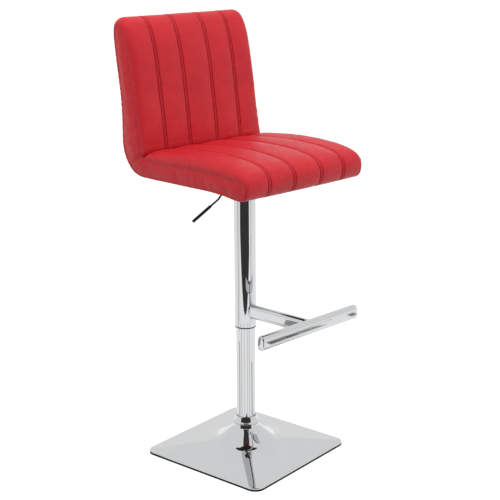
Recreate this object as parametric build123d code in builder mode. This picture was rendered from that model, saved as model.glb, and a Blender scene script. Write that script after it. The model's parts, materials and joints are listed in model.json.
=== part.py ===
from build123d import *

import math
import os

# Adjustable swivel bar stool: a square domed base, a gas-lift column inside two
# telescoping tubes, a footrest on the sliding tube and a quilted seat with a back.
# Millimetres. +Z is up, the origin is on the floor under the column's axis, the
# seat faces -Y and its height lever is on the -X side. The seat stands raised.

os.makedirs("parts", exist_ok=True)

# ---------------------------------------------------------------- driving sizes
# Clearances
slip = 0.3                    # free gap between pieces that don't guide each other
running = 0.08                # radial clearance of a running fit

# Base
base_side = 390.0
base_corner = 28.0
base_turn = 6.0               # degrees that the base stands turned under the seat
shell_wall = 1.5
trim_height = 5.0
trim_width = 9.0
trim_lip = 2.0                # how far the trim reaches up inside the shell
rim_height = 4.0
panel_rise = 11.0             # rise of the four flat panels from rim to bell
panel_top_side = 120.0
panel_top_corner = 45.0
bell_foot_radius = 122.0
bell_foot_drop = 5.0          # the bell's foot starts this far under the panels' top
bell_waist_lip = 28.6         # from the tube out to the middle of the bell's flare
bell_waist_drop = 29.0        # that middle below the bell's top
bell_lip = 8.6                # from the column's tube out to the bell's upper edge
bell_top = 80.0
neck_ring_height = 20.0
neck_ring_lip = 10.6          # from the tube out to the ring's lower edge
neck_ring_top_lip = 3.1
neck_ring_edge = 3.0
neck_ring_hollow = 1.0        # how far the ring's flare sinks in between its edges
pad_margin = 18.0             # from the ballast plate's edge in to a pad's middle
pad_radius = 12.0
pad_height = 3.5
weight_margin = 55.0          # from the rim in to the ballast plate's edge
weight_corner = 24.0
weight_thickness = 7.0
weight_hole_gap = 2.0         # around the clip under the column
base_bolt_circle = 42.0       # radius of the four bolts that hold the column
base_bolt_radius = 4.0

# Column, fixed to the base
tube_radius = 25.4
tube_wall = 1.5
flange_radius = 60.0
flange_thickness = 6.0
bearing_seat_height = 10.0
guide_bush_length = 45.0
guide_bush_flange = 3.0
wear_ring_length = 12.0

# Thrust bearing that the lift stands and turns on
race_gap = 1.2                # between the lower race and the rod
race_outer_radius = 14.0
race_thickness = 2.5
ball_radius = 2.0
ball_circle = 10.0
ball_count = 8
cage_thickness = 1.6

# Gas lift
stroke = 215.0
rod_radius = 5.0
rod_end = 1.5                 # of the rod beyond its clip and beyond its piston
rod_collar_lip = 4.0
rod_collar_height = 4.0
clip_lip = 2.4
clip_thickness = 1.6
clip_groove_depth = 0.8
bump_stop_lip = 6.0
bump_stop_height = 12.0
bump_stop_edge = 3.0
lowered_gap = 8.0             # left above the bump stop at the bottom of the stroke
lowered_cap_gap = 37.2        # left between the two tubes' tops at the bottom of the stroke
cylinder_radius = 14.0
cylinder_wall = 1.5
gland_height = 15.0
piston_height = 12.0
valve_body_height = 24.0
valve_pin_radius = 3.0
valve_pin_edge = 1.0

# Sliding tube and footrest
sleeve_gap = 1.975            # between the two tubes, all round
sleeve_wall = 1.2
sleeve_overlap = 84.0         # of the raised upper tube on the lower one
sleeve_ring_lip = 3.0
sleeve_ring_depth = 15.0
sleeve_cap_depth = 14.0
sleeve_cap_lip = 3.0
footrest_lift = 49.0          # middle of the bar above the sliding tube's lower end
footrest_reach = 229.0        # from the column's axis to the middle of the bar
footrest_length = 344.0
bar_height = 38.5
bar_depth = 23.0
bar_wall = 1.5
bar_cap_lip = 3.0
bar_cap_plug = 12.0

# Seat mechanism
seat_underside = 764.0
dust_cover_thickness = 0.8
dust_cover_margin = 3.0
plate_side = 180.0
plate_thickness = 3.0
plate_corner = 12.0
plate_flange = 10.0
plate_flange_inset = 20.0
bolt_spacing = 140.0
bolt_radius = 3.0
bolt_head_height = 4.0
washer_radius = 7.0
washer_thickness = 1.5
hub_wall = 6.0
hub_depth = 48.0
cavity_gap = 4.0              # around the cylinder's top
cavity_depth = 30.0           # from the plate down to the top of the cylinder
lever_depth = 16.0            # from the plate down to the lever's axis
lever_window_height = 16.0
lever_pin_radius = 1.5
lever_pin_inset = 1.0
lever_eye_radius = 5.0
lever_eye_width = 6.0
lever_rod_radius = 2.5
lever_grip_radius = 4.0
lever_grip_length = 66.0
lever_grip_end = 3.0          # of the grip past the end of the rod
lever_grip_edge = 1.5
lever_inner_end = 2.0         # of the lever past the column's axis
lever_straight = 62.0         # from the column's axis out to the first bend
lever_drop = 30.0             # down and out between the two bends
lever_bend = 15.0
lever_slope = 26.0            # degrees, of the grip below level
lever_reach = 178.0           # from the column's axis to the tip of the grip

# Seat and back
seat_width = 418.0
seat_front = 215.0            # from the column's axis forward to the seat's nose
crease_y = 150.0              # where the seat meets the back
nose_length = 100.0           # stretch behind the nose where the underside droops
nose_droop = 9.0
nose_tuck = 17.0              # lower edge of the nose behind its front
nose_level = 23.0             # front of the nose above the underside
nose_depth = 37.0             # upper edge of the nose behind its front
nose_rise = 6.0               # upper edge of the nose above the crease
crown_y = -30.0               # line of the seat's highest points
seat_thickness = 63.0         # underside to crease
seat_crown = 19.0             # middle of the seat above the crease
back_height = 336.0           # crease to top edge
back_lean_top = 63.0          # front of the back, top edge behind crease
back_foot_depth = 88.0
back_top_depth = 50.0
back_corner = 30.0
back_middle = 0.47            # share of the height at which both faces are shaped
back_bow = 23.0               # front of the back at the middle, behind the crease
back_hollow = 4.0             # rear of the back at the middle, behind its foot
back_front_edge = 23.0        # front edge below the top
back_rear_edge = 27.0         # rear edge below the top
back_peak = 3.0               # highest line ahead of the middle of the two edges
heel_radius = 58.0            # round heel under the back
cover_thickness = 1.2
board_thickness = 12.0
board_corner = 20.0
tee_barrel_depth = 9.0
tee_barrel_wall = 1.2
tee_flange_radius = 9.0
side_foam = 18.0              # beside the seat board
nose_foam = 32.0              # in front of the seat board
back_board_lift = 40.0        # its lower edge above the seat's underside
back_top_foam = 43.0          # above the back board
back_side_foam = 29.0         # beside the back board
back_front_foam = 50.0        # in front of the back board's lower edge
back_lean = 6.0               # degrees
strap_width = 40.0
strap_thickness = 5.0
strap_spacing = 220.0
strap_seat_length = 139.0
strap_back_length = 150.0
strap_bend = 25.0
screw_radius = 2.5
screw_head_radius = 5.0
screw_head_height = 2.5
screw_head_edge = 1.2
screw_depth = 9.0
seat_screw_steps = (25.0, 85.0)    # along the strap from its end under the seat
back_screw_steps = (50.0, 95.0)    # up the back board from its lower edge

# ------------------------------------------------------------- levels and planes
base_plane = Plane.XY.rotated((0, 0, base_turn))
rim_top = trim_height + rim_height
weight_side = base_side - 2 * weight_margin
weight_bottom = pad_height
weight_top = weight_bottom + weight_thickness
flange_top = weight_top + flange_thickness
tube_bore = tube_radius - tube_wall
bell_radius = tube_radius + bell_lip
race_inner_radius = rod_radius + race_gap
rod_collar_radius = rod_radius + rod_collar_lip
clip_radius = rod_radius + clip_lip
bump_stop_radius = rod_radius + bump_stop_lip
bearing_seat_top = flange_top + bearing_seat_height
ball_level = bearing_seat_top + race_thickness + ball_radius + running / 2
upper_race_bottom = ball_level + ball_radius + running / 2
upper_race_top = upper_race_bottom + race_thickness
rod_collar_top = upper_race_top + rod_collar_height
bump_stop_top = rod_collar_top + bump_stop_height
cylinder_bottom = bump_stop_top + lowered_gap + stroke
cylinder_bore = cylinder_radius - cylinder_wall
hub_cavity_radius = cylinder_radius + cavity_gap
hub_radius = hub_cavity_radius + hub_wall
lever_pivot_x = -(hub_cavity_radius + hub_radius) / 2
piston_bottom = cylinder_bottom + gland_height + slip
plate_top = seat_underside - dust_cover_thickness
plate_bottom = plate_top - plate_thickness
hub_bottom = plate_bottom - hub_depth
cylinder_top = plate_bottom - cavity_depth
lever_z = plate_bottom - lever_depth
sleeve_top = hub_bottom - sleeve_cap_lip
tube_top = sleeve_top - sleeve_cap_depth - stroke - lowered_cap_gap - guide_bush_flange
sleeve_bore = tube_radius + sleeve_gap
sleeve_radius = sleeve_bore + sleeve_wall
sleeve_bottom = tube_top - sleeve_overlap
footrest_height = sleeve_bottom + footrest_lift
crease_z = seat_underside + seat_thickness
back_top_z = crease_z + back_height
board_top = seat_underside + board_thickness
board_width = seat_width - 2 * side_foam
board_front = seat_front - nose_foam
board_rear = crease_y + back_foot_depth - heel_radius
nose_break = seat_front - nose_length
lean = math.radians(back_lean)
back_board_y = crease_y + back_front_foam
back_board_width = seat_width - 2 * back_side_foam
back_board_drop = back_board_lift + back_top_foam - seat_thickness
back_board_height = (back_height - back_board_drop) / math.cos(lean)
back_plane = Plane(
    origin=(0, back_board_y, seat_underside + back_board_lift),
    x_dir=(1, 0, 0),
    z_dir=(0, -math.cos(lean), math.sin(lean)),
)


def ring(inner, outer, bottom, height):
    """A plain round ring on the column's axis."""
    with BuildPart() as piece:
        with BuildSketch(Plane.XY.offset(bottom)):
            Circle(outer)
            Circle(inner, mode=Mode.SUBTRACT)
        extrude(amount=height)
    return piece.part


def disc(radius, bottom, height):
    """A plain round disc on the column's axis."""
    with BuildPart() as piece:
        with BuildSketch(Plane.XY.offset(bottom)):
            Circle(radius)
        extrude(amount=height)
    return piece.part


# ------------------------------------------------------------------------- base
def dome(inset):
    """The base's form: low pyramid and flared bell, its faces moved in by the inset."""
    side = base_side - 2 * inset
    corner = base_corner - inset
    foot_z = rim_top + panel_rise - bell_foot_drop - inset
    with BuildPart() as form:
        with BuildSketch(base_plane.offset(trim_height)):
            RectangleRounded(side, side, corner)
        extrude(amount=rim_height - inset)
        with BuildSketch(base_plane.offset(rim_top - inset)):
            RectangleRounded(side, side, corner)
        with BuildSketch(base_plane.offset(rim_top + panel_rise - inset)):
            RectangleRounded(panel_top_side, panel_top_side, panel_top_corner)
        loft()
        with BuildSketch(Plane.XZ):
            with BuildLine():
                foot = (bell_foot_radius - inset, foot_z)
                top = (bell_radius - inset, bell_top - inset)
                waist_radius = tube_radius + bell_waist_lip - inset
                ThreePointArc(top, (waist_radius, top[1] - bell_waist_drop), foot)
                Polyline(foot, (foot[0], trim_height), (0, trim_height), (0, top[1]), top)
            make_face()
        revolve(axis=Axis.Z)
    return form.part


with BuildPart() as base_shell:
    add(dome(0))
    add(dome(shell_wall), mode=Mode.SUBTRACT)
    with BuildSketch(Plane.XY):
        Circle(tube_radius + slip)
    extrude(amount=2 * bell_top, mode=Mode.SUBTRACT)
base_shell.part.label = "base_shell"
export_step(base_shell.part, "parts/base_shell.step")

with BuildPart() as edge_trim:
    lip_side = base_side - 2 * shell_wall
    hole_side = base_side - 2 * trim_width
    with BuildSketch(base_plane):
        RectangleRounded(base_side, base_side, base_corner)
        RectangleRounded(hole_side, hole_side, base_corner - trim_width, mode=Mode.SUBTRACT)
    extrude(amount=trim_height)
    with BuildSketch(base_plane.offset(trim_height)):
        RectangleRounded(lip_side, lip_side, base_corner - shell_wall)
        RectangleRounded(hole_side, hole_side, base_corner - trim_width, mode=Mode.SUBTRACT)
    extrude(amount=trim_lip)
edge_trim.part.label = "edge_trim"
export_step(edge_trim.part, "parts/edge_trim.step")

with BuildPart() as base_bolt:
    with BuildSketch(Plane.XZ):
        with BuildLine():
            Polyline(
                (0, weight_bottom),
                (2 * base_bolt_radius, weight_bottom),
                (base_bolt_radius, weight_bottom + base_bolt_radius),
                (base_bolt_radius, flange_top),
                (0, flange_top),
                close=True,
            )
        make_face()
    revolve(axis=Axis.Z)

with BuildPart() as base_bolts:
    with PolarLocations(base_bolt_circle, 4, start_angle=45 + base_turn):
        add(base_bolt.part)
base_bolts.part.label = "base_bolts"
export_step(base_bolts.part, "parts/base_bolts.step")

with BuildPart() as base_weight:
    with BuildSketch(base_plane.offset(weight_bottom)):
        RectangleRounded(weight_side, weight_side, weight_corner)
        Circle(clip_radius + weight_hole_gap, mode=Mode.SUBTRACT)
    extrude(amount=weight_thickness)
    add(base_bolts.part, mode=Mode.SUBTRACT)
base_weight.part.label = "base_weight"
export_step(base_weight.part, "parts/base_weight.step")

with BuildPart() as floor_pads:
    pad_spacing = weight_side - 2 * pad_margin
    with BuildSketch(base_plane):
        with GridLocations(pad_spacing, pad_spacing, 2, 2):
            Circle(pad_radius)
    extrude(amount=pad_height)
floor_pads.part.label = "floor_pads"
export_step(floor_pads.part, "parts/floor_pads.step")

with BuildPart() as neck_ring:
    neck_bore = tube_radius + slip
    neck_radius = tube_radius + neck_ring_lip
    neck_top_radius = tube_radius + neck_ring_top_lip
    neck_top = bell_top + neck_ring_height
    neck_edge = bell_top + neck_ring_edge
    flare_radius = (neck_radius + neck_top_radius) / 2 - neck_ring_hollow
    flare = (flare_radius, (bell_top + neck_top) / 2)
    with BuildSketch(Plane.XZ):
        with BuildLine():
            Polyline(
                (neck_top_radius, neck_top),
                (neck_bore, neck_top),
                (neck_bore, bell_top),
                (neck_radius, bell_top),
                (neck_radius, neck_edge),
            )
            ThreePointArc((neck_radius, neck_edge), flare, (neck_top_radius, neck_top))
        make_face()
    revolve(axis=Axis.Z)
neck_ring.part.label = "neck_ring"
export_step(neck_ring.part, "parts/neck_ring.step")

# ----------------------------------------------------------------------- column
with BuildPart() as column_flange:
    add(ring(clip_radius + 2 * slip, flange_radius, weight_top, flange_thickness))
    add(base_bolts.part, mode=Mode.SUBTRACT)
column_flange.part.label = "column_flange"
export_step(column_flange.part, "parts/column_flange.step")

with BuildPart() as column_tube:
    add(ring(tube_bore, tube_radius, flange_top, tube_top - flange_top))
column_tube.part.label = "column_tube"
export_step(column_tube.part, "parts/column_tube.step")

with BuildPart() as bearing_seat:
    add(ring(rod_radius + 2 * slip, tube_bore, flange_top, bearing_seat_height))
bearing_seat.part.label = "bearing_seat"
export_step(bearing_seat.part, "parts/bearing_seat.step")

with BuildPart() as guide_bush:
    bush_bore = cylinder_radius + running
    add(ring(bush_bore, tube_bore, tube_top - guide_bush_length, guide_bush_length))
    add(ring(bush_bore, tube_radius, tube_top, guide_bush_flange))
guide_bush.part.label = "guide_bush"
export_step(guide_bush.part, "parts/guide_bush.step")

with BuildPart() as wear_ring:
    add(ring(tube_radius, sleeve_bore - running, tube_top - wear_ring_length, wear_ring_length))
wear_ring.part.label = "wear_ring"
export_step(wear_ring.part, "parts/wear_ring.step")

# --------------------------------------------------------------- thrust bearing
with BuildPart() as lower_race:
    add(ring(race_inner_radius, race_outer_radius, bearing_seat_top, race_thickness))
lower_race.part.label = "lower_race"
export_step(lower_race.part, "parts/lower_race.step")

with BuildPart() as ball:
    with BuildSketch(Plane.XZ):
        with BuildLine():
            CenterArc((0, ball_level), ball_radius, -90, 180)
            Line((0, ball_level + ball_radius), (0, ball_level - ball_radius))
        make_face()
    revolve(axis=Axis.Z)

with BuildPart() as bearing_balls:
    with PolarLocations(ball_circle, ball_count):
        add(ball.part)
bearing_balls.part.label = "bearing_balls"
export_step(bearing_balls.part, "parts/bearing_balls.step")

with BuildPart() as bearing_cage:
    with BuildSketch(Plane.XY.offset(ball_level - cage_thickness / 2)):
        Circle(race_outer_radius - slip)
        Circle(race_inner_radius + slip, mode=Mode.SUBTRACT)
        with PolarLocations(ball_circle, ball_count):
            Circle(ball_radius + running, mode=Mode.SUBTRACT)
    extrude(amount=cage_thickness)
bearing_cage.part.label = "bearing_cage"
export_step(bearing_cage.part, "parts/bearing_cage.step")

with BuildPart() as upper_race:
    add(ring(rod_radius, race_outer_radius, upper_race_bottom, race_thickness))
upper_race.part.label = "upper_race"
export_step(upper_race.part, "parts/upper_race.step")

# --------------------------------------------------------------------- gas lift
clip_top = flange_top - slip
rod_bottom = clip_top - clip_thickness - rod_end
groove_radius = rod_radius - clip_groove_depth
rod_top = piston_bottom + piston_height + rod_end
rod_profile = [
    (0, rod_bottom),
    (rod_radius, rod_bottom),
    (rod_radius, clip_top - clip_thickness),
    (groove_radius, clip_top - clip_thickness),
    (groove_radius, clip_top),
    (rod_radius, clip_top),
    (rod_radius, upper_race_top),
    (rod_collar_radius, upper_race_top),
    (rod_collar_radius, rod_collar_top),
    (rod_radius, rod_collar_top),
    (rod_radius, rod_top),
    (0, rod_top),
]
with BuildPart() as piston_rod:
    with BuildSketch(Plane.XZ):
        with BuildLine():
            Polyline(*rod_profile, close=True)
        make_face()
    revolve(axis=Axis.Z)
piston_rod.part.label = "piston_rod"
export_step(piston_rod.part, "parts/piston_rod.step")

with BuildPart() as retaining_clip:
    with BuildSketch(Plane.XY.offset(clip_top - clip_thickness)):
        Circle(clip_radius)
        Circle(groove_radius, mode=Mode.SUBTRACT)
        with Locations((clip_radius, 0)):
            Rectangle(2 * clip_radius, groove_radius, mode=Mode.SUBTRACT)
    extrude(amount=clip_thickness)
retaining_clip.part.label = "retaining_clip"
export_step(retaining_clip.part, "parts/retaining_clip.step")

with BuildPart() as bump_stop:
    add(ring(rod_radius, bump_stop_radius, rod_collar_top, bump_stop_height))
    fillet(bump_stop.faces().sort_by(Axis.Z)[-1].edges().sort_by(SortBy.LENGTH)[-1], bump_stop_edge)
bump_stop.part.label = "bump_stop"
export_step(bump_stop.part, "parts/bump_stop.step")

with BuildPart() as piston:
    add(ring(rod_radius, cylinder_bore - running, piston_bottom, piston_height))
piston.part.label = "piston"
export_step(piston.part, "parts/piston.step")

with BuildPart() as rod_gland:
    add(ring(rod_radius + running, cylinder_bore, cylinder_bottom, gland_height))
rod_gland.part.label = "rod_gland"
export_step(rod_gland.part, "parts/rod_gland.step")

with BuildPart() as gas_cylinder:
    add(ring(cylinder_bore, cylinder_radius, cylinder_bottom, cylinder_top - cylinder_bottom))
gas_cylinder.part.label = "gas_cylinder"
export_step(gas_cylinder.part, "parts/gas_cylinder.step")

with BuildPart() as valve_body:
    pin_bore = valve_pin_radius + running
    add(ring(pin_bore, cylinder_bore, cylinder_top - valve_body_height, valve_body_height))
valve_body.part.label = "valve_body"
export_step(valve_body.part, "parts/valve_body.step")

with BuildPart() as valve_pin:
    pin_top = lever_z - lever_rod_radius - slip
    pin_bottom = cylinder_top - valve_body_height / 2
    with BuildSketch(Plane.XY.offset(pin_bottom)):
        Circle(valve_pin_radius)
    extrude(amount=pin_top - pin_bottom)
    fillet(valve_pin.faces().sort_by(Axis.Z)[-1].edges(), valve_pin_edge)
valve_pin.part.label = "valve_pin"
export_step(valve_pin.part, "parts/valve_pin.step")

# ----------------------------------------------------------------- sliding tube
with BuildPart() as sleeve_tube:
    add(ring(sleeve_bore, sleeve_radius, sleeve_bottom, sleeve_top - sleeve_bottom))
sleeve_tube.part.label = "sleeve_tube"
export_step(sleeve_tube.part, "parts/sleeve_tube.step")

with BuildPart() as sleeve_ring:
    ring_bore = tube_radius + running
    add(ring(ring_bore, sleeve_radius - slip, sleeve_bottom - sleeve_ring_lip, sleeve_ring_lip))
    add(ring(ring_bore, sleeve_bore, sleeve_bottom, sleeve_ring_depth))
sleeve_ring.part.label = "sleeve_ring"
export_step(sleeve_ring.part, "parts/sleeve_ring.step")

with BuildPart() as sleeve_cap:
    add(ring(cylinder_radius, sleeve_bore, sleeve_top - sleeve_cap_depth, sleeve_cap_depth))
    add(ring(cylinder_radius, sleeve_radius, sleeve_top, sleeve_cap_lip))
sleeve_cap.part.label = "sleeve_cap"
export_step(sleeve_cap.part, "parts/sleeve_cap.step")

# --------------------------------------------------------------------- footrest
def flat_oval(inset=0, mode=Mode.ADD):
    """The footrest tube's section, standing on end: two flats joined by half rounds."""
    return SlotOverall(bar_height - 2 * inset, bar_depth - 2 * inset, rotation=90, mode=mode)


with BuildPart() as footrest_bar:
    with BuildSketch(Plane.YZ.offset(-footrest_length / 2)):
        with Locations((-footrest_reach, footrest_height)):
            flat_oval()
            flat_oval(bar_wall, Mode.SUBTRACT)
    extrude(amount=footrest_length)
footrest_bar.part.label = "footrest_bar"
export_step(footrest_bar.part, "parts/footrest_bar.step")

with BuildPart() as footrest_caps:
    for end in (-1, 1):
        face = Plane(origin=(end * footrest_length / 2, 0, 0), x_dir=(0, 1, 0), z_dir=(1, 0, 0))
        with BuildSketch(face):
            with Locations((-footrest_reach, footrest_height)):
                flat_oval()
        extrude(amount=end * bar_cap_lip)
        with BuildSketch(face):
            with Locations((-footrest_reach, footrest_height)):
                flat_oval(bar_wall)
        extrude(amount=-end * bar_cap_plug)
footrest_caps.part.label = "footrest_caps"
export_step(footrest_caps.part, "parts/footrest_caps.step")

with BuildPart() as footrest_arm:
    with BuildSketch(Plane.XZ):
        with Locations((0, footrest_height)):
            flat_oval()
            flat_oval(bar_wall, Mode.SUBTRACT)
    extrude(amount=footrest_reach)
    with BuildSketch(Plane.YZ.offset(-bar_depth)):
        with Locations((-footrest_reach, footrest_height)):
            flat_oval()
    extrude(amount=2 * bar_depth, mode=Mode.SUBTRACT)
    add(disc(sleeve_radius, footrest_height - bar_height, 2 * bar_height), mode=Mode.SUBTRACT)
footrest_arm.part.label = "footrest_arm"
export_step(footrest_arm.part, "parts/footrest_arm.step")

# --------------------------------------------------------------- seat mechanism
with BuildPart() as taper_hub:
    add(ring(cylinder_radius, hub_radius, hub_bottom, hub_depth))
    add(disc(hub_cavity_radius, cylinder_top, cavity_depth), mode=Mode.SUBTRACT)
    with BuildSketch(Plane.XY.offset(lever_z - lever_window_height / 2)):
        with Locations((lever_pivot_x, 0)):
            Rectangle(2 * hub_wall, lever_eye_width + 2 * slip)
    extrude(amount=lever_window_height, mode=Mode.SUBTRACT)
    with BuildSketch(Plane.XZ.offset(-hub_radius)):
        with Locations((lever_pivot_x, lever_z)):
            Circle(lever_pin_radius)
    extrude(amount=2 * hub_radius, mode=Mode.SUBTRACT)
taper_hub.part.label = "taper_hub"
export_step(taper_hub.part, "parts/taper_hub.step")

with BuildPart() as seat_plate:
    with BuildSketch(Plane.XY.offset(plate_bottom)):
        RectangleRounded(plate_side, plate_side, plate_corner)
        with GridLocations(bolt_spacing, bolt_spacing, 2, 2):
            Circle(bolt_radius, mode=Mode.SUBTRACT)
    extrude(amount=plate_thickness)
    with BuildSketch(Plane.XY.offset(plate_bottom - plate_flange)):
        with GridLocations(0, plate_side - plate_thickness, 1, 2):
            Rectangle(plate_side - 2 * plate_flange_inset, plate_thickness)
    extrude(amount=plate_flange)
seat_plate.part.label = "seat_plate"
export_step(seat_plate.part, "parts/seat_plate.step")

lever_start = (lever_inner_end, 0, lever_z)
lever_bend_one = (-lever_straight, 0, lever_z)
lever_bend_two = (-lever_straight - lever_drop, 0, lever_z - lever_drop)
grip_slope = math.radians(lever_slope)
grip_tip = (
    -lever_reach,
    0,
    lever_bend_two[2] - (lever_reach + lever_bend_two[0]) * math.tan(grip_slope),
)
with BuildPart() as lever_rod:
    with BuildLine() as rod_path:
        FilletPolyline(lever_start, lever_bend_one, lever_bend_two, grip_tip, radius=lever_bend)
    with BuildSketch(Plane(origin=lever_start, z_dir=(-1, 0, 0))):
        Circle(lever_rod_radius)
    sweep()
    with BuildSketch(Plane.XZ.offset(-lever_eye_width / 2)):
        with Locations((lever_pivot_x, lever_z)):
            Circle(lever_eye_radius)
    extrude(amount=lever_eye_width)
    with BuildSketch(Plane.XZ.offset(-lever_eye_width)):
        with Locations((lever_pivot_x, lever_z)):
            Circle(lever_pin_radius + running)
    extrude(amount=2 * lever_eye_width, mode=Mode.SUBTRACT)
lever_rod.part.label = "lever_rod"

grip_axis = Plane(
    origin=grip_tip,
    z_dir=(math.cos(grip_slope), 0, math.sin(grip_slope)),
)
with BuildPart() as lever_grip:
    with BuildSketch(grip_axis.offset(-lever_grip_end)):
        Circle(lever_grip_radius)
    extrude(amount=lever_grip_length)
    fillet(lever_grip.faces().sort_by(Axis.X)[0].edges(), lever_grip_edge)
    add(lever_rod.part, mode=Mode.SUBTRACT)
lever_grip.part.label = "lever_grip"
export_step(lever_rod.part, "parts/lever_rod.step")
export_step(lever_grip.part, "parts/lever_grip.step")

with BuildPart() as lever_pin:
    pin_length = 2 * math.sqrt(hub_radius**2 - lever_pivot_x**2) - 2 * lever_pin_inset
    with BuildSketch(Plane.XZ.offset(-pin_length / 2)):
        with Locations((lever_pivot_x, lever_z)):
            Circle(lever_pin_radius)
    extrude(amount=pin_length)
lever_pin.part.label = "lever_pin"
export_step(lever_pin.part, "parts/lever_pin.step")

# ----------------------------------------------------------- boards and fittings
with BuildPart() as tee_nut:
    barrel_radius = bolt_radius + tee_barrel_wall
    add(ring(bolt_radius, barrel_radius, board_top - tee_barrel_depth, tee_barrel_depth))
    add(ring(bolt_radius, tee_flange_radius, board_top - washer_thickness, washer_thickness))

with BuildPart() as tee_nuts:
    with GridLocations(bolt_spacing, bolt_spacing, 2, 2):
        add(tee_nut.part)
tee_nuts.part.label = "tee_nuts"
export_step(tee_nuts.part, "parts/tee_nuts.step")

with BuildPart() as bolt_washers:
    with GridLocations(bolt_spacing, bolt_spacing, 2, 2):
        add(ring(bolt_radius, washer_radius, plate_bottom - washer_thickness, washer_thickness))
bolt_washers.part.label = "bolt_washers"
export_step(bolt_washers.part, "parts/bolt_washers.step")

with BuildPart() as seat_bolts:
    head_top = plate_bottom - washer_thickness
    with BuildSketch(Plane.XY.offset(head_top - bolt_head_height)):
        with GridLocations(bolt_spacing, bolt_spacing, 2, 2):
            RegularPolygon(2 * bolt_radius, 6)
    extrude(amount=bolt_head_height)
    with BuildSketch(Plane.XY.offset(head_top)):
        with GridLocations(bolt_spacing, bolt_spacing, 2, 2):
            Circle(bolt_radius)
    extrude(amount=board_top - head_top)
seat_bolts.part.label = "seat_bolts"
export_step(seat_bolts.part, "parts/seat_bolts.step")


def strap_frame(side):
    """The plane that one strap is bent in, with its first axis along +Y."""
    return Plane(origin=(side * strap_spacing / 2, 0, 0), x_dir=(0, 1, 0), z_dir=(1, 0, 0))


strap_level = board_top + strap_thickness / 2
strap_corner_y = (
    back_board_y
    - strap_thickness / 2 / math.cos(lean)
    - (seat_underside + back_board_lift - strap_level) * math.tan(lean)
)
strap_top = (
    strap_corner_y + strap_back_length * math.sin(lean),
    strap_level + strap_back_length * math.cos(lean),
)
with BuildPart() as screw:
    with BuildSketch(Plane.XY):
        Circle(screw_radius)
    extrude(amount=-screw_depth - strap_thickness)
    with BuildSketch(Plane.XY):
        Circle(screw_head_radius)
    extrude(amount=screw_head_height)
    fillet(screw.faces().sort_by(Axis.Z)[-1].edges(), screw_head_edge)

with BuildPart() as bracket_screws:
    for x in (-strap_spacing / 2, strap_spacing / 2):
        for step in seat_screw_steps:
            screw_y = strap_corner_y - strap_seat_length + step
            with Locations((x, screw_y, board_top + strap_thickness)):
                add(screw.part)
        for step in back_screw_steps:
            with Locations(back_plane.location * Pos(x, step, strap_thickness)):
                add(screw.part)
bracket_screws.part.label = "bracket_screws"
export_step(bracket_screws.part, "parts/bracket_screws.step")

with BuildPart() as back_brackets:
    for side in (-1, 1):
        with BuildLine(strap_frame(side)):
            FilletPolyline(
                (strap_corner_y - strap_seat_length, strap_level),
                (strap_corner_y, strap_level),
                strap_top,
                radius=strap_bend,
            )
        strap_start = (side * strap_spacing / 2, strap_corner_y - strap_seat_length, strap_level)
        with BuildSketch(Plane(origin=strap_start, x_dir=(1, 0, 0), z_dir=(0, 1, 0))):
            Rectangle(strap_width, strap_thickness)
        sweep()
    add(bracket_screws.part, mode=Mode.SUBTRACT)
back_brackets.part.label = "back_brackets"
export_step(back_brackets.part, "parts/back_brackets.step")

with BuildPart() as seat_board:
    board_length = board_front + board_rear
    with BuildSketch(Plane.XY.offset(seat_underside)):
        with Locations((0, (board_rear - board_front) / 2)):
            RectangleRounded(board_width, board_length, board_corner)
        with GridLocations(bolt_spacing, bolt_spacing, 2, 2):
            Circle(bolt_radius, mode=Mode.SUBTRACT)
    extrude(amount=board_thickness)
    add(tee_nuts.part, mode=Mode.SUBTRACT)
    add(bracket_screws.part, mode=Mode.SUBTRACT)
seat_board.part.label = "seat_board"
export_step(seat_board.part, "parts/seat_board.step")

with BuildPart() as back_board:
    with BuildSketch(back_plane):
        with Locations((0, back_board_height / 2)):
            RectangleRounded(back_board_width, back_board_height, board_corner)
    extrude(amount=-board_thickness)
    add(bracket_screws.part, mode=Mode.SUBTRACT)
back_board.part.label = "back_board"
export_step(back_board.part, "parts/back_board.step")

with BuildPart() as dust_cover:
    dust_width = board_width - 2 * dust_cover_margin
    dust_length = nose_break + board_rear - 2 * dust_cover_margin
    with BuildSketch(Plane.XY.offset(plate_top)):
        with Locations((0, (board_rear - nose_break) / 2)):
            RectangleRounded(dust_width, dust_length, board_corner - dust_cover_margin)
        with GridLocations(bolt_spacing, bolt_spacing, 2, 2):
            Circle(bolt_radius, mode=Mode.SUBTRACT)
    extrude(amount=dust_cover_thickness)
dust_cover.part.label = "dust_cover"
export_step(dust_cover.part, "parts/dust_cover.step")


# --------------------------------------------------------------------- upholstery
def seat_form(inset):
    """The seat up to its joint with the back, its outside moved in by the inset."""
    nose_y = -seat_front + inset
    nose_low = (nose_y + nose_tuck, seat_underside - nose_droop + inset)
    nose_mid = (nose_y, seat_underside + nose_level)
    nose_high = (nose_y + nose_depth, crease_z + nose_rise - inset)
    crown = (crown_y, crease_z + seat_crown - inset)
    crease = (crease_y, crease_z - inset)
    heel_out = crease_y + back_foot_depth - inset
    heel_y = crease_y + back_foot_depth - heel_radius
    heel_z = seat_underside + heel_radius
    turn = (heel_radius - inset) * math.sqrt(0.5)
    with BuildPart() as form:
        with BuildSketch(Plane.YZ.offset(-seat_width / 2 + inset)):
            with BuildLine():
                ThreePointArc(nose_low, nose_mid, nose_high)
                ThreePointArc(nose_high, crown, crease)
                Polyline(crease, (heel_out, crease_z - inset), (heel_out, heel_z))
                ThreePointArc(
                    (heel_out, heel_z),
                    (heel_y + turn, heel_z - turn),
                    (heel_y, seat_underside + inset),
                )
                Polyline(
                    (heel_y, seat_underside + inset),
                    (-nose_break, seat_underside + inset),
                    nose_low,
                )
            make_face()
        extrude(amount=seat_width - 2 * inset)
    return form.part


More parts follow.
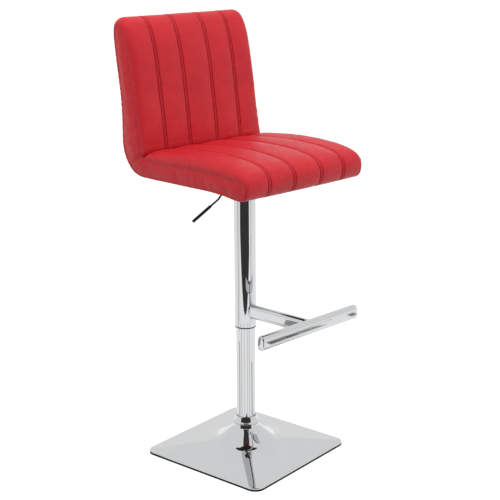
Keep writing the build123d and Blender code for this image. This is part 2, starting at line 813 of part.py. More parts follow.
def back_form(inset):
    """The back above its joint with the seat, its outside moved in by the inset."""
    middle_z = crease_z + back_middle * back_height
    rear_y = crease_y + back_foot_depth - inset
    rear_top_y = crease_y + back_lean_top + back_top_depth - inset
    front_top = (crease_y + back_lean_top + inset, back_top_z - back_front_edge)
    rear_top = (rear_top_y, back_top_z - back_rear_edge)
    top = ((front_top[0] + rear_top_y) / 2 - back_peak, back_top_z - inset)
    with BuildPart() as form:
        with BuildSketch(Plane.YZ.offset(-seat_width / 2 + inset)):
            with BuildLine():
                ThreePointArc(
                    (crease_y + inset, crease_z),
                    (crease_y + back_bow + inset, middle_z),
                    front_top,
                )
                ThreePointArc(front_top, top, rear_top)
                ThreePointArc(rear_top, (rear_y + back_hollow, middle_z), (rear_y, crease_z))
                Line((rear_y, crease_z), (crease_y + inset, crease_z))
            make_face()
        extrude(amount=seat_width - 2 * inset)
        with BuildSketch(Plane.XZ.offset(-2 * seat_width)):
            with Locations((0, (crease_z + back_top_z - inset) / 2 - back_corner)):
                RectangleRounded(
                    seat_width - 2 * inset,
                    back_height - inset + 2 * back_corner,
                    back_corner - inset,
                )
        extrude(amount=4 * seat_width, mode=Mode.INTERSECT)
    return form.part


inner_pieces = [
    seat_board.part,
    seat_bolts.part,
    tee_nuts.part,
    back_board.part,
    back_brackets.part,
    bracket_screws.part,
]

with BuildPart() as seat_foam:
    add(seat_form(cover_thickness))
    add(inner_pieces, mode=Mode.SUBTRACT)
seat_foam.part.label = "seat_foam"
export_step(seat_foam.part, "parts/seat_foam.step")

with BuildPart() as back_foam:
    add(back_form(cover_thickness))
    add(inner_pieces, mode=Mode.SUBTRACT)
back_foam.part.label = "back_foam"
export_step(back_foam.part, "parts/back_foam.step")

with BuildPart() as seat_cover:
    add(seat_form(0))
    add(seat_form(cover_thickness), mode=Mode.SUBTRACT)
    add(inner_pieces, mode=Mode.SUBTRACT)
seat_cover.part.label = "seat_cover"
export_step(seat_cover.part, "parts/seat_cover.step")

with BuildPart() as back_cover:
    add(back_form(0))
    add(back_form(cover_thickness), mode=Mode.SUBTRACT)
back_cover.part.label = "back_cover"
export_step(back_cover.part, "parts/back_cover.step")
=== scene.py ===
import json
import math

import bmesh
import bpy
import numpy as np
from mathutils import Matrix, Vector, geometry


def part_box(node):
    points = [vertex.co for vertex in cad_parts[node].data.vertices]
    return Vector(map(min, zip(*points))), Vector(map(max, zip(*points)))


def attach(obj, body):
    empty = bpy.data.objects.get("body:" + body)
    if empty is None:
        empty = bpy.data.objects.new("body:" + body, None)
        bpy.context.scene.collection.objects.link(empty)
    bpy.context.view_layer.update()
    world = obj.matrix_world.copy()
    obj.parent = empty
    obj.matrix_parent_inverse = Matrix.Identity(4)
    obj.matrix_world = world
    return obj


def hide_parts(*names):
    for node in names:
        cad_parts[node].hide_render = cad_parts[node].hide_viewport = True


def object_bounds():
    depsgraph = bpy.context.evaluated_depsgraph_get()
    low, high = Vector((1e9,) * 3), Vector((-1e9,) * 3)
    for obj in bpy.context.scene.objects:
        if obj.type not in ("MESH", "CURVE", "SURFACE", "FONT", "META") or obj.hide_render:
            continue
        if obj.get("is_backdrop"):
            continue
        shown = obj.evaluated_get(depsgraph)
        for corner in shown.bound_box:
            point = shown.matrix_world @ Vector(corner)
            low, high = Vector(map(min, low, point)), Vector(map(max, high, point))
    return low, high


# Adjustable swivel bar stool: quilted seat and back in red faux leather over a
# chromed gas-lift column, a footrest and a domed square base. Metres, row frame.

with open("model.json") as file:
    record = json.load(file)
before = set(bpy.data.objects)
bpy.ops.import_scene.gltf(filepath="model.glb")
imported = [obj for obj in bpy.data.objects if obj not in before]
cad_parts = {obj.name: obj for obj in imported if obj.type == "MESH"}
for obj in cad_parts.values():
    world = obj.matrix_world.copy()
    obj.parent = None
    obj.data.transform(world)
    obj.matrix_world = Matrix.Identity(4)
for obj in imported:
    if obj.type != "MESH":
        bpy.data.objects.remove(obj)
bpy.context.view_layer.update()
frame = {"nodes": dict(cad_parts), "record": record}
nodes = frame["nodes"]
MM = 0.001


# ------------------------------------------------------------------ mesh helpers
def make(name, verts, faces, material, body, angle, replaces=()):
    """A smooth-shaded mesh piece riding on a CAD body; edges sharper than angle stay crisp."""
    mesh = bpy.data.meshes.new(name)
    mesh.from_pydata([tuple(map(float, v)) for v in verts], [], [tuple(map(int, f)) for f in faces])
    mesh.validate()
    bm = bmesh.new()
    bm.from_mesh(mesh)
    bmesh.ops.recalc_face_normals(bm, faces=bm.faces)
    for f in bm.faces:
        f.smooth = True
    limit = math.radians(angle)
    for e in bm.edges:
        e.smooth = len(e.link_faces) == 2 and e.calc_face_angle() < limit
    bm.to_mesh(mesh)
    bm.free()
    piece = bpy.data.objects.new(name, mesh)
    bpy.context.scene.collection.objects.link(piece)
    mesh.materials.append(material)
    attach(piece, body)
    if replaces:
        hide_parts(*replaces)
    return piece


def grid_faces(rows, cols, closed_rows=False, closed_cols=False, start=0):
    """Quads of a rows x cols grid of vertices numbered row by row."""
    faces = []
    for i in range(rows if closed_rows else rows - 1):
        for j in range(cols if closed_cols else cols - 1):
            a, b = i * cols + j, i * cols + (j + 1) % cols
            c, d = ((i + 1) % rows) * cols + (j + 1) % cols, ((i + 1) % rows) * cols + j
            faces.append((start + a, start + b, start + c, start + d))
    return faces


def rounded(profile, radii, steps=4):
    """A closed (r, z) profile with its corners eased, each over its own radius; 0 leaves it sharp."""
    n = len(profile)
    out = []
    for k in range(n):
        p, a, b = (np.array(profile[(k + s) % n], float) for s in (0, -1, 1))
        r = radii[k]
        if r <= 0:
            out.append(tuple(p))
            continue
        ua, ub = (a - p) / np.linalg.norm(a - p), (b - p) / np.linalg.norm(b - p)
        p0, p1 = p + ua * r, p + ub * r
        for s in range(steps + 1):
            t = s / steps
            out.append(tuple((1 - t) ** 2 * p0 + 2 * t * (1 - t) * p + t * t * p1))
    return out


def revolve(profile, segments=128):
    """Verts and faces of a closed (r, z) profile in mm, turned about the column's axis."""
    verts, n = [], len(profile)
    for k in range(segments):
        c, s = math.cos(2 * math.pi * k / segments), math.sin(2 * math.pi * k / segments)
        verts += [(r * c * MM, r * s * MM, z * MM) for r, z in profile]
    return verts, grid_faces(segments, n, True, True)


# --------------------------------------------------------------------- materials
class Nodes:
    """A short way to write a procedural material."""

    def __init__(self, name):
        self.material = bpy.data.materials.new(name)
        self.material.use_nodes = True
        self.tree = self.material.node_tree
        self.shader = self.tree.nodes["Principled BSDF"]
        self.place = self.add("ShaderNodeTexCoord").outputs["Object"]

    def add(self, kind, inputs=None, **settings):
        node = self.tree.nodes.new(kind)
        for key, value in settings.items():
            setattr(node, key, value)
        for key, value in (inputs or {}).items():
            self.put(node.inputs[key], value)
        return node

    def put(self, socket, value):
        if isinstance(value, bpy.types.NodeSocket):
            self.tree.links.new(value, socket)
        else:
            socket.default_value = value

    def set(self, **values):
        for key, value in values.items():
            self.put(self.shader.inputs[key.replace("_", " ")], value)

    def stretch(self, scale):
        return self.add("ShaderNodeMapping", {"Vector": self.place, "Scale": scale}).outputs[0]

    def noise(self, scale, detail=3.0, rough=0.5, where=None):
        return self.add(
            "ShaderNodeTexNoise",
            {"Vector": where or self.place, "Scale": scale, "Detail": detail, "Roughness": rough},
        ).outputs["Fac"]

    def cells(self, scale, where=None, feature="DISTANCE_TO_EDGE"):
        return self.add(
            "ShaderNodeTexVoronoi", {"Vector": where or self.place, "Scale": scale}, feature=feature
        ).outputs["Distance"]

    def remap(self, value, low, high, to_low, to_high):
        return self.add(
            "ShaderNodeMapRange",
            {"Value": value, "From Min": low, "From Max": high, "To Min": to_low, "To Max": to_high},
        ).outputs[0]

    def mix(self, factor, a, b):
        node = self.add("ShaderNodeMix", data_type="RGBA")
        self.put(node.inputs[0], factor)
        self.put(node.inputs[6], a)
        self.put(node.inputs[7], b)
        return node.outputs[2]

    def math(self, kind, a, b):
        return self.add("ShaderNodeMath", {0: a, 1: b}, operation=kind).outputs[0]

    def bump(self, height, strength, distance, under=None):
        given = {"Height": height, "Strength": strength, "Distance": distance}
        if under is not None:
            given["Normal"] = under
        return self.add("ShaderNodeBump", given).outputs[0]


def leather():
    m = Nodes("cover_leather")
    broad = m.noise(9.0, 3.0)
    fine = m.noise(70.0, 4.0, 0.6)
    colour = m.mix(m.remap(broad, 0.3, 0.7, 0, 1), (0.51, 0.013, 0.021, 1), (0.575, 0.018, 0.027, 1))
    colour = m.mix(m.remap(fine, 0.35, 0.75, 0, 0.35), colour, (0.46, 0.011, 0.019, 1))
    # Pointiness: painted shade darkens the cover's hollows and creases; edge wear lightens its most convex
    # edges.
    hollow_shade_and_edge_wear = m.add("ShaderNodeNewGeometry").outputs["Pointiness"]
    colour = m.mix(m.remap(hollow_shade_and_edge_wear, 0.43, 0.497, 0.8, 0), colour, (0.22, 0.001, 0.005, 1))
    colour = m.mix(m.remap(hollow_shade_and_edge_wear, 0.52, 0.58, 0, 0.3), colour, (0.70, 0.03, 0.045, 1))
    # Painted shade: the seam attribute darkens the cover along its stitched valleys and its side and rear
    # seams.
    seam = m.add("ShaderNodeAttribute", attribute_name="seam").outputs["Fac"]
    colour = m.mix(m.math("MULTIPLY", seam, 0.7), colour, (0.22, 0.0, 0.004, 1))
    pebble = m.cells(620.0)
    crumb = m.noise(1500.0, 2.0, 0.6)
    creases = m.cells(190.0, m.stretch((1, 1.6, 1.6)))
    grain = m.math("ADD", m.remap(pebble, 0, 0.35, 0, 1), m.math("MULTIPLY", crumb, 0.35))
    normal = m.bump(grain, 0.22, 0.0004)
    normal = m.bump(m.remap(creases, 0, 0.08, 0, 1), 0.10, 0.0004, normal)
    m.set(Base_Color=colour, Roughness=m.remap(fine, 0.3, 0.7, 0.42, 0.52), Normal=normal)
    m.set(Specular_IOR_Level=0.36)
    return m.material


def thread():
    m = Nodes("seam_thread")
    twist = m.noise(2400.0, 2.0)
    m.set(Base_Color=m.mix(twist, (0.46, 0.015, 0.025, 1), (0.68, 0.045, 0.055, 1)), Roughness=0.6)
    m.set(Normal=m.bump(twist, 0.4, 0.0002))
    return m.material


def chrome():
    m = Nodes("chrome")
    haze = m.noise(26.0, 5.0, 0.6)
    ripple = m.noise(7.0, 2.0)
    m.set(Base_Color=m.mix(haze, (0.56, 0.565, 0.575, 1), (0.61, 0.615, 0.62, 1)), Metallic=1.0)
    m.set(Roughness=m.remap(haze, 0.3, 0.7, 0.02, 0.06), Normal=m.bump(ripple, 0.06, 0.0006))
    return m.material


def metal(name, dark, light, rough, scale, strength=0.15, stretch=(1, 1, 1)):
    """Bare or plated metal with fine tool marks."""
    m = Nodes(name)
    marks = m.noise(scale, 4.0, 0.6, m.stretch(stretch))
    m.set(Base_Color=m.mix(marks, (*dark, 1), (*light, 1)), Metallic=1.0)
    m.set(Roughness=m.remap(marks, 0.3, 0.7, rough - 0.07, rough + 0.07))
    m.set(Normal=m.bump(marks, strength, 0.0003))
    return m.material


def moulded(name, dark, light, rough, scale, strength):
    """Plastic or rubber with a moulded grain."""
    m = Nodes(name)
    grain = m.noise(scale, 3.0, 0.6)
    scuffs = m.noise(40.0, 4.0, 0.7)
    m.set(Base_Color=m.mix(m.remap(scuffs, 0.45, 0.75, 0, 1), (*dark, 1), (*light, 1)))
    m.set(Roughness=m.remap(grain, 0.3, 0.7, rough - 0.08, rough + 0.08), Specular_IOR_Level=0.25)
    m.set(Normal=m.bump(grain, strength, 0.0003))
    return m.material


def plywood():
    m = Nodes("plywood")
    grain = m.noise(30.0, 6.0, 0.7, m.stretch((6, 0.6, 6)))
    plies = m.add(
        "ShaderNodeTexWave", {"Vector": m.place, "Scale": 130.0, "Distortion": 1.5}, bands_direction="Z"
    ).outputs["Fac"]
    colour = m.mix(grain, (0.50, 0.33, 0.18, 1), (0.70, 0.52, 0.32, 1))
    colour = m.mix(m.math("MULTIPLY", plies, 0.3), colour, (0.33, 0.20, 0.10, 1))
    m.set(Base_Color=colour, Roughness=0.7, Normal=m.bump(grain, 0.3, 0.0006))
    return m.material


def foam():
    m = Nodes("foam")
    pores = m.cells(900.0)
    m.set(Base_Color=m.mix(pores, (0.62, 0.55, 0.36, 1), (0.82, 0.76, 0.58, 1)), Roughness=0.95)
    m.set(Normal=m.bump(pores, 0.5, 0.0008))
    return m.material


def lining():
    m = Nodes("lining")
    web = m.noise(650.0, 5.0, 0.7)
    dots = m.cells(420.0, feature="F1")
    colour = m.mix(m.remap(web, 0.35, 0.65, 0, 1), (0.012, 0.012, 0.013, 1), (0.045, 0.045, 0.048, 1))
    m.set(Base_Color=colour, Roughness=0.92, Sheen_Weight=0.3)
    m.set(Normal=m.bump(m.math("ADD", web, dots), 0.5, 0.0004))
    return m.material


finish = {
    "chrome": chrome(),
    "cover_leather": leather(),
    "foam": foam(),
    "plywood": plywood(),
    "black_steel": metal("black_steel", (0.02, 0.02, 0.022), (0.06, 0.06, 0.062), 0.42, 300.0),
    "zinc_steel": metal("zinc_steel", (0.52, 0.53, 0.55), (0.72, 0.72, 0.70), 0.34, 160.0),
    "ground_steel": metal(
        "ground_steel", (0.55, 0.55, 0.56), (0.70, 0.70, 0.71), 0.2, 60.0, 0.1, (1, 1, 12)
    ),
    "black_plastic": moulded(
        "black_plastic", (0.012, 0.012, 0.013), (0.03, 0.03, 0.032), 0.36, 500.0, 0.12
    ),
    "black_rubber": moulded(
        "black_rubber", (0.004, 0.004, 0.004), (0.014, 0.014, 0.014), 0.66, 350.0, 0.25
    ),
    "iron": metal("iron", (0.09, 0.085, 0.08), (0.20, 0.19, 0.18), 0.6, 90.0, 0.5),
    "lining": lining(),
}
stitching = thread()
# Every CAD piece takes its slot's finish; those that nothing below replaces are seen as they are.
for entry in frame["record"]["subparts"]:
    for shown in nodes[entry["node"]].material_slots:
        shown.material = finish[entry["material_slot"]]


# ---------------------------------------------------------------------- upholstery
# One closed L-shaped form. Each row of the table is a point of the outline in the
# middle (y, z), the matching point of the seam round the side band (y, z), and how
# far in from the side the surface rolls over to that seam. Millimetres, starting
# in the crease, up the back, over its top, down the rear, under the seat, round
# the nose and back over the seat to the crease.
OUTLINE = np.array([
    (156, 811, 153, 819.5, 6), (151, 824, 152.5, 826, 8), (153.5, 850, 157.5, 850, 13),
    (160, 905, 168, 907, 16), (168.5, 965, 179.5, 966, 17), (176, 1020, 190, 1022, 18),
    (184.5, 1068, 200, 1070, 18), (192.5, 1100, 207.5, 1098, 18), (201.5, 1126, 215.5, 1117.5, 20),
    (213, 1147, 224.5, 1132.5, 22), (228, 1159, 234, 1140.5, 23), (243, 1160.5, 242.5, 1140.5, 23),
    (255.5, 1152, 249.5, 1134.5, 18), (262, 1134, 252.5, 1117, 16), (260, 1105, 250.5, 1090, 14),
    (255, 1066, 247, 1060, 12), (248, 1015, 240.5, 1012, 12), (242, 965, 234, 965, 12),
    (239, 910, 231, 910, 12), (238.5, 868, 231, 870, 12), (237, 838, 230, 843, 12),
    (229.5, 811, 223, 818, 12), (215, 788.5, 210, 796, 12), (196, 772.5, 194, 780, 10),
    (172, 765, 173, 770, 8), (140, 764, 140, 768, 6), (60, 764, 60, 767.5, 6), (-20, 764, -20, 767.5, 6),
    (-100, 764, -100, 767.2, 6), (-148, 760.5, -148, 764, 6), (-180, 756.5, -180, 760, 7),
    (-200, 757, -198, 761, 8), (-211, 764, -206.5, 767, 9), (-217, 777.5, -210.5, 779, 10),
    (-218, 791, -211.5, 789, 12), (-215.5, 805, -208.5, 797.5, 16), (-207, 817.5, -200, 803.5, 21),
    (-189, 827.5, -185, 807, 26), (-160, 834.5, -158, 810, 29), (-113, 839.8, -113, 813, 30),
    (-60, 842.2, -60, 814, 30), (-20, 842.2, -20, 813.5, 30), (30, 840.3, 30, 812, 30),
    (70, 837.5, 70, 810.5, 30), (108, 833.5, 108, 811.5, 26), (133, 828.5, 132, 815.5, 20),
    (146, 823, 145, 819, 12), (156, 811, 153, 819.5, 6),
], float)
HALF = 209.0                   # middle to the side seams
FLAT_REACH = 160               # middle to the last grid line before the edge rolls over
SEAMS = (-132.5, -48.0, 48.0, 132.5)
ROW = 4.2                      # a quilting seam to the stitch row on either side of it
EDGE_ROW = 5                   # a side or rear seam to the stitch row beside it
REAR_SEAM, NOSE_END = 13, 31   # outline rows where the quilted front panel ends
LAST = len(OUTLINE) - 1        # outline row where the outline closes in the crease
NOSE_TURN, BACK_TURN = 35, 9   # outline rows where the side seams turn and the cover gathers
PAD_BACK, PAD_SEAT = 2.9, 3.5  # how far a quilted panel stands out between its seams
SEAM_IN = 1.2                  # how far the side seams are drawn in from HALF
SIDE_DIP = 1.3                 # how deep the side band dips at its own seam
MOST_SHIFT = 6.0               # most that the simulated cover may move
COARSE_STEP, FINE_STEP = 5.5, 2.8   # row spacing of the simulated form and of the shown one


def swell(distance, height, width):
    """A smooth hump of the given height at distance 0, nearly gone at twice the width."""
    return height * np.exp(-((distance / width) ** 2))


def outline(step):
    """The outline table resampled at about step mm, with each sample's row number, and its run.

    A sample's run is its distance along the outline from the crease.
    """
    chord = np.r_[0, np.cumsum(np.hypot(*np.diff(OUTLINE[:, :2], axis=0).T))]
    slope = np.gradient(OUTLINE, chord, axis=0)
    fine = np.linspace(0, chord[-1], 4000)
    k = np.clip(np.searchsorted(chord, fine, "right") - 1, 0, len(chord) - 2)
    h = (chord[k + 1] - chord[k])[:, None]
    t = ((fine - chord[k]) / h[:, 0])[:, None]
    a, b, c, d = OUTLINE[k], OUTLINE[k + 1], slope[k] * h, slope[k + 1] * h
    curve = (2 * t**3 - 3 * t**2 + 1) * a + (t**3 - 2 * t**2 + t) * c
    curve += (3 * t**2 - 2 * t**3) * b + (t**3 - t**2) * d
    row = k + t[:, 0]
    run = np.r_[0, np.cumsum(np.hypot(*np.diff(curve[:, :2], axis=0).T))]
    count = int(round(run[-1] / step))
    at = np.linspace(0, run[-1], count + 1)[:-1]
    return np.array([np.interp(at, run, c) for c in (*curve.T, row)]).T, at


def stations(fine):
    """Where the grid lines between the rolled edges lie, and the steps that roll each edge over."""
    if fine:
        # Close lines beside each seam, for its ridge and its two stitched valleys.
        near = [0, 0.8, 1.6, 2.6, 3.6, 4.2, 4.8, 5.6, 6.8, 8.5, 11, 15]
        lines = set(np.round(np.linspace(-FLAT_REACH, FLAT_REACH, 81), 2))
        for s in SEAMS:
            lines = {x for x in lines if abs(x - s) > near[-1] + 0.5}
            lines |= {s + sign * d for d in near for sign in (-1, 1)}
        return np.array(sorted(lines)), 12
    lines = set(np.linspace(-FLAT_REACH, FLAT_REACH, 41))
    for s in SEAMS:
        lines = {x for x in lines if abs(x - s) > 4} | {s}
    return np.array(sorted(lines)), 5


def body_form(step, fine):
    """The plain form as a (rows, lines, 3) grid in mm, each row's outline row number and its run.

    The first and last lines are the side seams.
    """
    rows, run = outline(step)
    lines, turns = stations(fine)
    reach = np.abs(lines).max()
    gap = HALF - reach
    quarter = 1 - np.cos(np.linspace(0, math.pi / 2, turns + 1))
    flat = np.linspace(0, 1, 5)[1:-1]
    grid = np.zeros((len(rows), len(lines) + 2 * (turns + 1 + len(flat)), 3))
    for i, (my, mz, sy, sz, roll, _) in enumerate(rows):
        edge = np.r_[roll * quarter, roll + (gap - roll) * flat]
        e = np.r_[edge, HALF - np.abs(lines), edge[::-1]]
        x = np.r_[-HALF + edge, lines, HALF - edge[::-1]]
        g = np.sqrt(np.clip(1 - (1 - np.minimum(e / roll, 1)) ** 2, 0, 1))
        grid[i] = np.c_[x, sy + (my - sy) * g, sz + (mz - sz) * g]
    return grid, rows[:, 5], run


def smoothstep(v, a, b):
    """0 up to a, 1 from b on, with a smooth rise between."""
    t = np.clip((v - a) / (b - a), 0, 1)
    return t * t * (3 - 2 * t)


def normals_of(grid):
    """Outward unit normals of a grid closed along its rows."""
    along = np.roll(grid, -1, 0) - np.roll(grid, 1, 0)
    along[0] = grid[1] - grid[0]
    across = np.gradient(grid, axis=1)
    n = np.cross(across, along)
    n /= np.maximum(np.linalg.norm(n, axis=2, keepdims=True), 1e-9)
    return n


def wobble(values, seed, wave):
    """A smooth repeatable wander along a line, about -1 to 1."""
    rng = np.random.default_rng(seed)
    total = np.zeros_like(values)
    for k in range(7):
        w = wave * rng.uniform(0.6, 1.9)
        total += rng.uniform(0.4, 1.0) * np.sin(2 * math.pi * values / w + rng.uniform(0, 2 * math.pi))
    return total / 2.4


def front_share(row):
    """1 on the quilted front panel, 0 on the rear and under the seat."""
    up = 1 - smoothstep(row, REAR_SEAM - 0.6, REAR_SEAM)
    return np.maximum(up, smoothstep(row, NOSE_END - 0.5, NOSE_END + 0.5))


def crease_fade(row):
    """Falls to 0 in the crease, where the panels are pulled in flat."""
    return smoothstep(row, 0, 1.6) * (1 - smoothstep(row, LAST - 2.5, LAST - 0.3))


def quilting(x, row, run, fine):
    """Height of the padding and its seams above the plain form, in mm."""
    front = (front_share(row) * crease_fade(row))[:, None]
    back = (row < REAR_SEAM + 0.5)[:, None]
    # The padding thins over the top of the back, round the nose and into the crease.
    at = (0, 8, 9.4, 10.6, REAR_SEAM, NOSE_END, 33, 35, 37, LAST - 6, LAST - 1)
    share = (1, 1, 0.85, 0.25, 0.15, 0.25, 0.45, 0.8, 1, 1, 0.45)
    full = np.where(back, PAD_BACK, PAD_SEAT) * np.interp(row, at, share)[:, None]
    # The outer panels run past the side seams, so they are still padded where they roll over.
    panels = np.array([-HALF - 12, *SEAMS, HALF + 12])
    k = np.clip(np.searchsorted(panels, x) - 1, 0, len(panels) - 2)
    low, high = panels[k], panels[k + 1]
    u = (2 * x - low - high) / (high - low)
    pad = full * (1 - np.abs(u) ** 2.4) ** 0.85
    height = front * pad
    if not fine:
        return height
    for n, s in enumerate(SEAMS):
        d = x - s
        a = np.abs(d)
        ridge = 1.1 * np.clip(1 - (a / ROW) ** 2, 0, 1) - swell(d, 0.8, 0.9)
        height += front * (ridge - swell(a - ROW, 2.4, 1.3))
        for side in (-1, 1):
            wave = wobble(run, 11 * n + side + 5, 17.0)[:, None]
            reach = np.exp(-np.clip(a - ROW, 0, None) / 8.0) * (a > ROW * 0.6) * (d * side > 0)
            height += front * 0.42 * wave * reach
    return height


def side_mesh(loop, rings, spacing):
    """Fills the side seam's (y, z) loop: points, triangles and each point's distance from the seam."""
    n = len(loop)
    tangent = np.roll(loop, -1, 0) - np.roll(loop, 1, 0)
    tangent /= np.linalg.norm(tangent, axis=1, keepdims=True)
    area = 0.5 * np.sum(loop[:, 0] * np.roll(loop[:, 1], -1) - np.roll(loop[:, 0], -1) * loop[:, 1])
    inward = np.c_[-tangent[:, 1], tangent[:, 0]] * (1 if area > 0 else -1)

    def away(points):
        """Each point's distance from the loop."""
        return np.array([np.hypot(*(loop - p).T).min() for p in points])

    inner = []
    for k, d in enumerate(rings):
        ring = (loop + inward * d)[:: 1 + (d > 5)]
        inner.append(ring[away(ring) > 0.95 * d])
    lo, hi = loop.min(0), loop.max(0)
    ys, zs = np.arange(lo[0], hi[0], spacing), np.arange(lo[1], hi[1], spacing * 0.87)
    lattice = np.array([(y + (i % 2) * spacing / 2, z) for i, z in enumerate(zs) for y in ys])
    inner.append(lattice[away(lattice) > rings[-1] + 0.6 * spacing])
    points = np.vstack([loop, *inner])
    found = geometry.delaunay_2d_cdt(
        [Vector(p) for p in points], [(i, (i + 1) % n) for i in range(n)], [], 0, 1e-6
    )
    at = np.array([tuple(v) for v in found[0]])
    keep = []
    for tri in found[2]:
        c = at[list(tri)].mean(0)
        a, b = loop, np.roll(loop, -1, 0)
        hit = (a[:, 1] > c[1]) != (b[:, 1] > c[1])
        climb = np.where(b[:, 1] == a[:, 1], 1, b[:, 1] - a[:, 1])
        cross = a[:, 0] + (c[1] - a[:, 1]) * (b[:, 0] - a[:, 0]) / climb
        if (hit & (c[0] < cross)).sum() % 2:
            keep.append(tuple(tri))
    return at, keep, np.r_[np.zeros(n), away(at[n:])]


def side_height(points, gap, sign, fine):
    """How far the side band stands out of its plane, in mm."""
    y, z = points.T
    height = 2.4 * (1 - np.exp(-((gap / 20) ** 2)))
    # A fold runs from the crease's end down to the heel below the back.
    corner, heel = np.array((152.5, 824.0)), np.array((214.0, 781.0))
    way = heel - corner
    t = np.clip(((points - corner) @ way) / (way @ way), 0, 1)
    off = np.hypot(*(points - corner - t[:, None] * way).T)
    height -= swell(off, 1.6, 5.5) * smoothstep(gap, 0, 6) * (1 - 0.5 * t)
    height += swell(off - 10, 0.7, 6.0) * smoothstep(gap, 0, 8)
    if fine:
        height -= swell(gap, SIDE_DIP, 1.6) + swell(gap - EDGE_ROW, 0.8, 1.5)
        wave = wobble(y + 0.6 * z, 40 + sign, 21.0) * np.exp(-gap / 9.0) * (gap > 1)
        height += 0.5 * wave + 0.35 * wobble(y - z, 50 + sign, 60.0) * smoothstep(gap, 4, 20)
    return height


def closed_form(grid, sides):
    """Vertices and faces of the grid with its two side panels stitched on."""
    rows, lines = grid.shape[:2]
    verts = [tuple(p) for p in grid.reshape(-1, 3)]
    faces = grid_faces(rows, lines, closed_rows=True)
    for sign, (at, tris, _), x in sides:
        index = [i * lines + (0 if sign < 0 else lines - 1) for i in range(rows)]
        index += list(range(len(verts), len(verts) + len(at) - rows))
        verts += [(x[k], at[k, 0], at[k, 1]) for k in range(rows, len(at))]
        faces += [tuple(index[v] for v in (t if sign > 0 else t[::-1])) for t in tris]
    return verts, faces


def inflate(verts, faces, pinned, cap, frames=20):
    """How far each point moves, in mm and cap at most, when the cover is blown out on its seams."""
    mesh = bpy.data.meshes.new("cloth")
    mesh.from_pydata([tuple(c * MM for c in v) for v in verts], [], faces)
    work = bpy.data.objects.new("cloth", mesh)
    bpy.context.scene.collection.objects.link(work)
    bm = bmesh.new()
    bm.from_mesh(mesh)
    bmesh.ops.recalc_face_normals(bm, faces=bm.faces)
    bm.to_mesh(mesh)
    bm.free()
    group = work.vertex_groups.new(name="pin")
    group.add([int(k) for k in np.flatnonzero(pinned)], 1.0, "REPLACE")
    cloth = work.modifiers.new("cloth", "CLOTH")
    s = cloth.settings
    s.quality = 6
    s.mass = 0.25
    s.tension_stiffness = s.compression_stiffness = 22.0
    s.shear_stiffness = 8.0
    s.bending_stiffness = 0.9
    s.vertex_group_mass = "pin"
    s.pin_stiffness = 30.0
    s.use_pressure = True
    s.uniform_pressure_force = 4.0
    s.shrink_min = -0.018
    s.effector_weights.gravity = 0.0
    scene = bpy.context.scene
    scene.frame_end = frames
    for f in range(1, frames + 1):
        scene.frame_set(f)
    found = work.evaluated_get(bpy.context.evaluated_depsgraph_get()).data
    moved = np.array([tuple(v.co) for v in found.vertices]) / MM
    scene.frame_set(1)
    bpy.data.objects.remove(work)
    bpy.data.meshes.remove(mesh)
    rest = np.array(verts, float)
    shift = moved - rest
    length = np.linalg.norm(shift, axis=1, keepdims=True)
    return shift * np.minimum(1, cap / np.maximum(length, 1e-9))


def padding_shift():
    """The cover simulated as cloth on a coarse copy: its grid, run and shifts, and its sides' own."""
    grid, row, run = body_form(COARSE_STEP, fine=False)
    grid = grid + normals_of(grid) * quilting(grid[:, :, 0], row, run, fine=False)[:, :, None]
    sides = []
    for sign in (-1, 1):
        line = grid[:, 0 if sign < 0 else -1]
        found = side_mesh(line[:, 1:], rings=(5.0,), spacing=7.0)
        x = sign * (HALF + side_height(found[0], found[2], sign, fine=False))
        sides.append((sign, found, x))
    verts, faces = closed_form(grid, sides)
    # Held still: the crease, every seam, and the underside where the board lies.
    hold = np.zeros(grid.shape[:2], bool)
    hold[:, [0, -1]] = True
    front = front_share(row) > 0.5
    for s in SEAMS:
        hold[front, np.argmin(np.abs(grid[0, :, 0] - s))] = True
    hold[(row > 24.5) & (row < NOSE_END - 0.3)] = True
    hold[0] = True
    hold[np.argmin(np.abs(row - REAR_SEAM))] = True
    pinned = np.zeros(len(verts), bool)
    pinned[: hold.size] = hold.ravel()
    shift = inflate(verts, faces, pinned, MOST_SHIFT)
    return grid, run, shift[: hold.size].reshape(*hold.shape, 3), sides, shift[hold.size :]


def resample(values, old_run, old_x, run, x):
    """Values on the coarse grid read at the fine grid's samples and lines."""
    span = old_run[-1] + (old_run[1] - old_run[0])
    closed = np.concatenate([values, values[:1]], 0)
    rows = np.empty((len(run), values.shape[1], 3))
    for c in range(3):
        for j in range(values.shape[1]):
            rows[:, j, c] = np.interp(run, np.r_[old_run, span], closed[:, j, c])
    out = np.empty((*x.shape, 3))
    place = np.arange(values.shape[1])
    for i in range(len(run)):
        k = min(int(np.searchsorted(old_run, run[i], "right") - 1), len(old_x) - 1)
        at = np.interp(x[i], old_x[k], place)
        for c in range(3):
            out[i, :, c] = np.interp(at, place, rows[i, :, c])
    return out


def soften(field, passes):
    """Averages a grid field with its neighbours, to take the coarse grid's steps out."""
    for _ in range(passes):
        field = (field * 2 + np.roll(field, 1, 0) + np.roll(field, -1, 0)) / 4
        inner = (field[:, 1:-1] * 2 + field[:, 2:] + field[:, :-2]) / 4
        field = np.concatenate([field[:, :1], inner, field[:, -1:]], 1)
    return field


plain, row, run = body_form(FINE_STEP, fine=True)
# The nose bows forward in the middle.
nose = np.interp(row, [29, 31, 34, 36, 39], [0, 3.5, 5.5, 4, 0])[:, None]
bow = nose * (1 - (plain[:, :, 0] / HALF) ** 2)
normal = normals_of(plain)
height = quilting(plain[:, :, 0], row, run, fine=True)
along_left = np.linalg.norm(np.diff(plain, axis=1), axis=2).cumsum(1)
gap_left = np.concatenate([np.zeros((len(run), 1)), along_left], 1)
gap_right = gap_left[:, -1:] - gap_left
